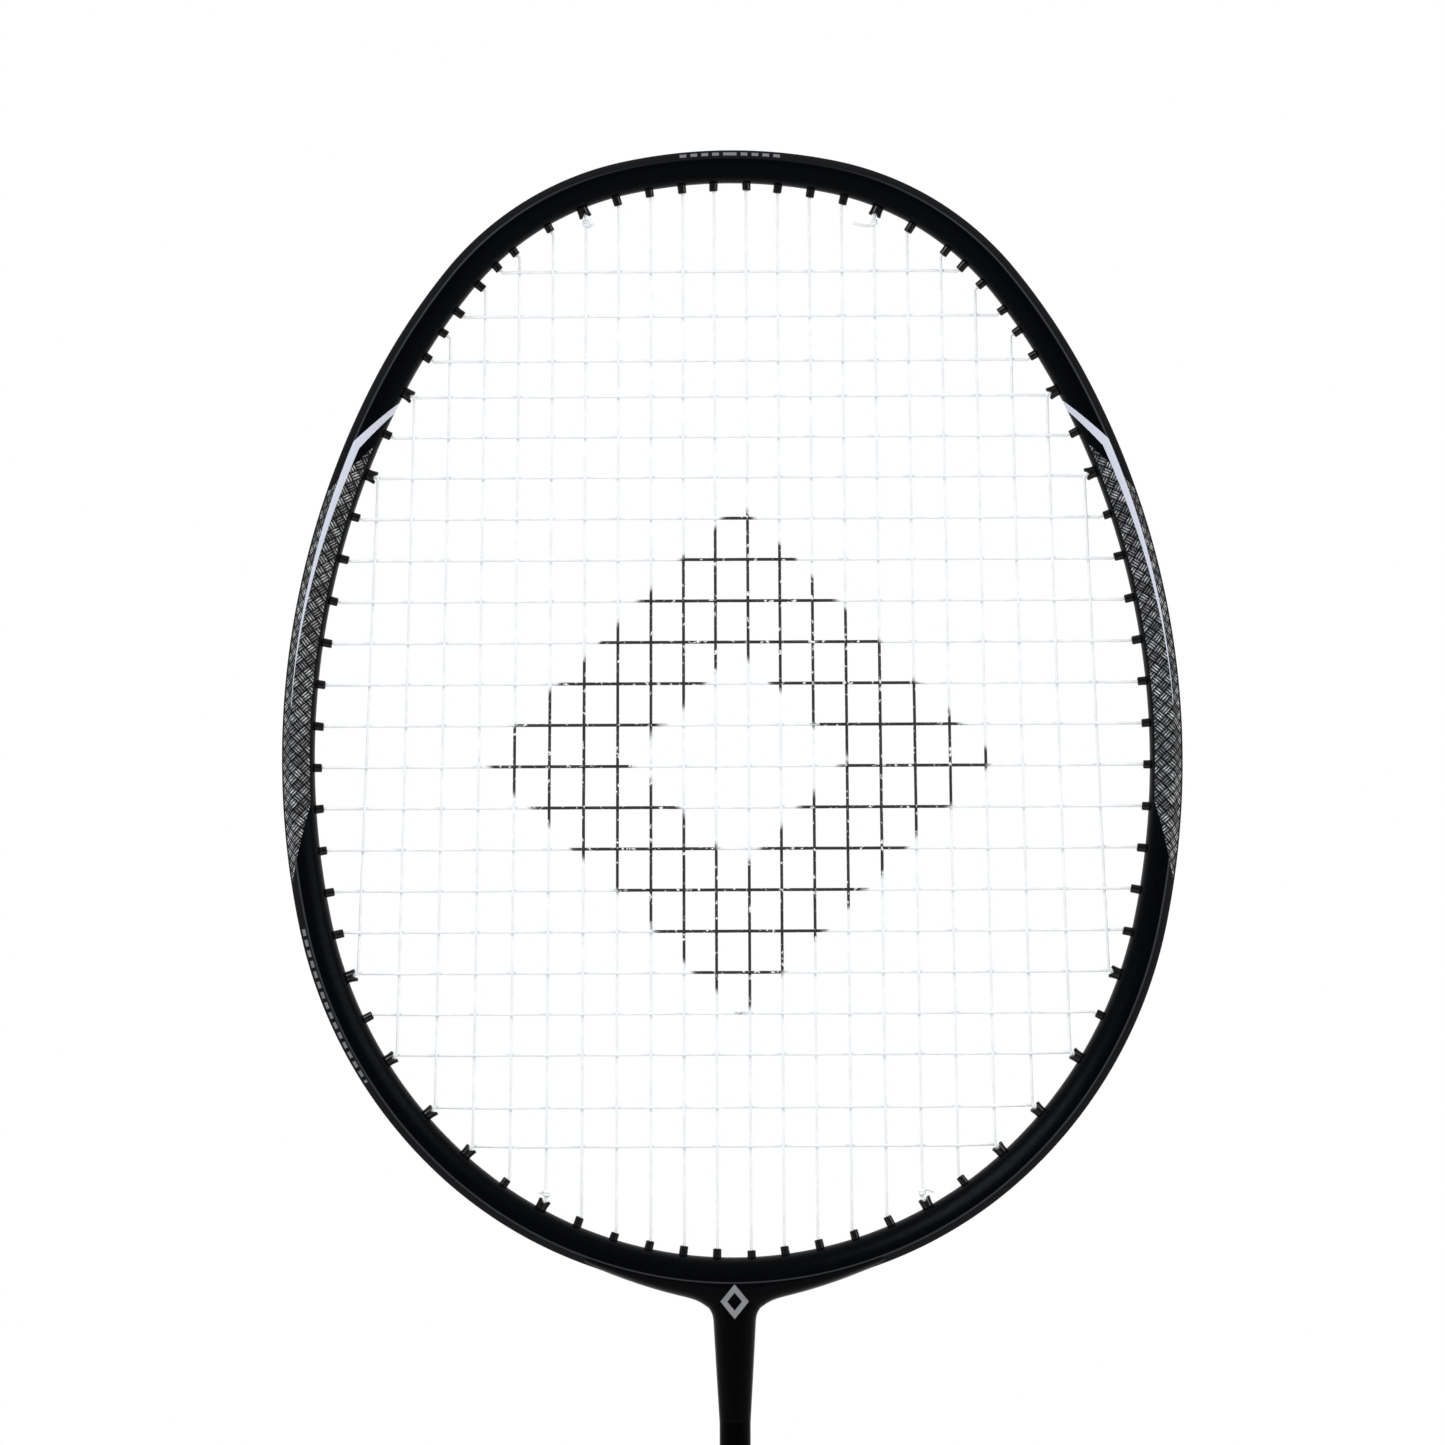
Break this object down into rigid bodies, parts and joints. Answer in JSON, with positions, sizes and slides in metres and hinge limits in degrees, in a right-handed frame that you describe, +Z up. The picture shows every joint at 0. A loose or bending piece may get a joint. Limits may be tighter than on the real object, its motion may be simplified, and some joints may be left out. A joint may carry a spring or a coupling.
{
  "type": "badminton racket",
  "caption": "Strung badminton racket with an oval carbon hoop, slim shaft, tapered cone, wrapped octagonal handle and flared butt cap.",
  "frame": {"origin": "Centre of the butt cap's flat end, at the bottom of the handle.", "axes": "+Z runs up the shaft from the butt to the top of the head, X runs across the string bed, and the front of the string bed faces -Y."},
  "size_m": [0.202, 0.0288, 0.675],
  "materials": {
    "frame_lacquer": "satin black lacquer over carbon laminate, with a woven grey print and a pale stripe",
    "shaft_lacquer": "satin black lacquer over carbon tube",
    "insert_resin": "moulded carbon-filled resin",
    "handle_wood": "light sanded hardwood",
    "cone_plastic": "moulded black plastic",
    "grip_leather": "black synthetic leather tape, stitched-look channel and small perforations",
    "tape_vinyl": "black vinyl tape",
    "staple_steel": "plain steel wire",
    "cap_plastic": "moulded black plastic, finely textured",
    "badge_plastic": "plain grey disc with no mark",
    "grommet_nylon": "black nylon",
    "string_nylon": "pale translucent multifilament nylon"
  },
  "bodies": {
    "root": {"frame_hoop": "frame_lacquer", "throat_joint": "frame_lacquer", "shaft": "shaft_lacquer", "t_insert": "insert_resin", "handle_core": "handle_wood", "handle_cone": "cone_plastic", "grip_wrap": "grip_leather", "finishing_tape": "tape_vinyl", "grip_staples": "staple_steel", "butt_cap": "cap_plastic", "butt_badge": "badge_plastic", "top_grommets": "grommet_nylon", "bottom_grommets": "grommet_nylon", "left_grommets": "grommet_nylon", "right_grommets": "grommet_nylon", "shared_grommets_left": "grommet_nylon", "shared_grommets_right": "grommet_nylon", "tie_off_grommets": "grommet_nylon", "throat_strip_left": "grommet_nylon", "throat_strip_right": "grommet_nylon", "main_string": "string_nylon", "cross_string": "string_nylon", "main_string_knots": "string_nylon", "cross_string_knots": "string_nylon"}
  },
  "joints": []
}
